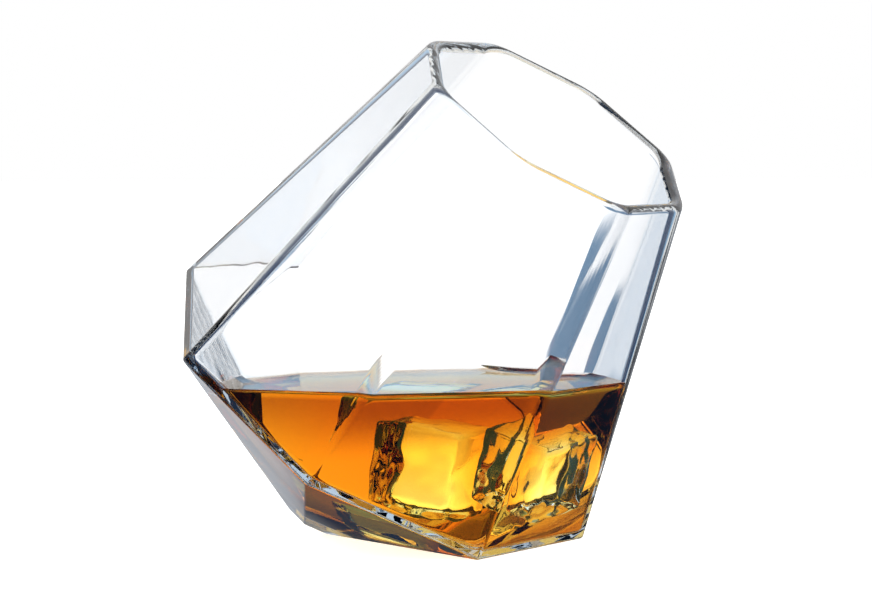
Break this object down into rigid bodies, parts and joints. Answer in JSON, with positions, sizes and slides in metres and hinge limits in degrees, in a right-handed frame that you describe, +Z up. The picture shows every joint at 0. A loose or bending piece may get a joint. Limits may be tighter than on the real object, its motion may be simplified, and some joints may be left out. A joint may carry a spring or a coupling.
{
  "type": "whiskey tumbler",
  "caption": "Faceted eight-sided diamond whiskey tumbler that rests tilted on one lower facet, holding whiskey and ice that lifts out through the mouth.",
  "frame": {"origin": "middle of the facet that the glass rests on, on the table's surface", "axes": "+Z up from the table; +X is the way the glass leans, so the XZ plane is the glass's own mirror plane; +Y completes a right-handed frame"},
  "size_m": [0.099, 0.0886, 0.0986],
  "materials": {
    "clear_glass": "clear, fire-polished, facets flat with softened edges",
    "whiskey": "clear amber liquid",
    "ice": "clear ice, wet and slightly melted"
  },
  "bodies": {
    "glass": {"glass": "clear_glass", "whiskey": "whiskey"},
    "ice_large": {"ice_large": "ice"},
    "ice_small": {"ice_small": "ice"}
  },
  "joints": [
    {"name": "ice_large_lift", "type": "slide", "parent": "glass", "child": "ice_large", "axis": [0.369, -0.049, 0.9281], "range_m": [0, 0.095], "deforming": ["whiskey"]},
    {"name": "ice_small_lift", "type": "slide", "parent": "glass", "child": "ice_small", "axis": [0.3699, -0.131, 0.9198], "range_m": [0, 0.08], "deforming": ["whiskey"]}
  ]
}
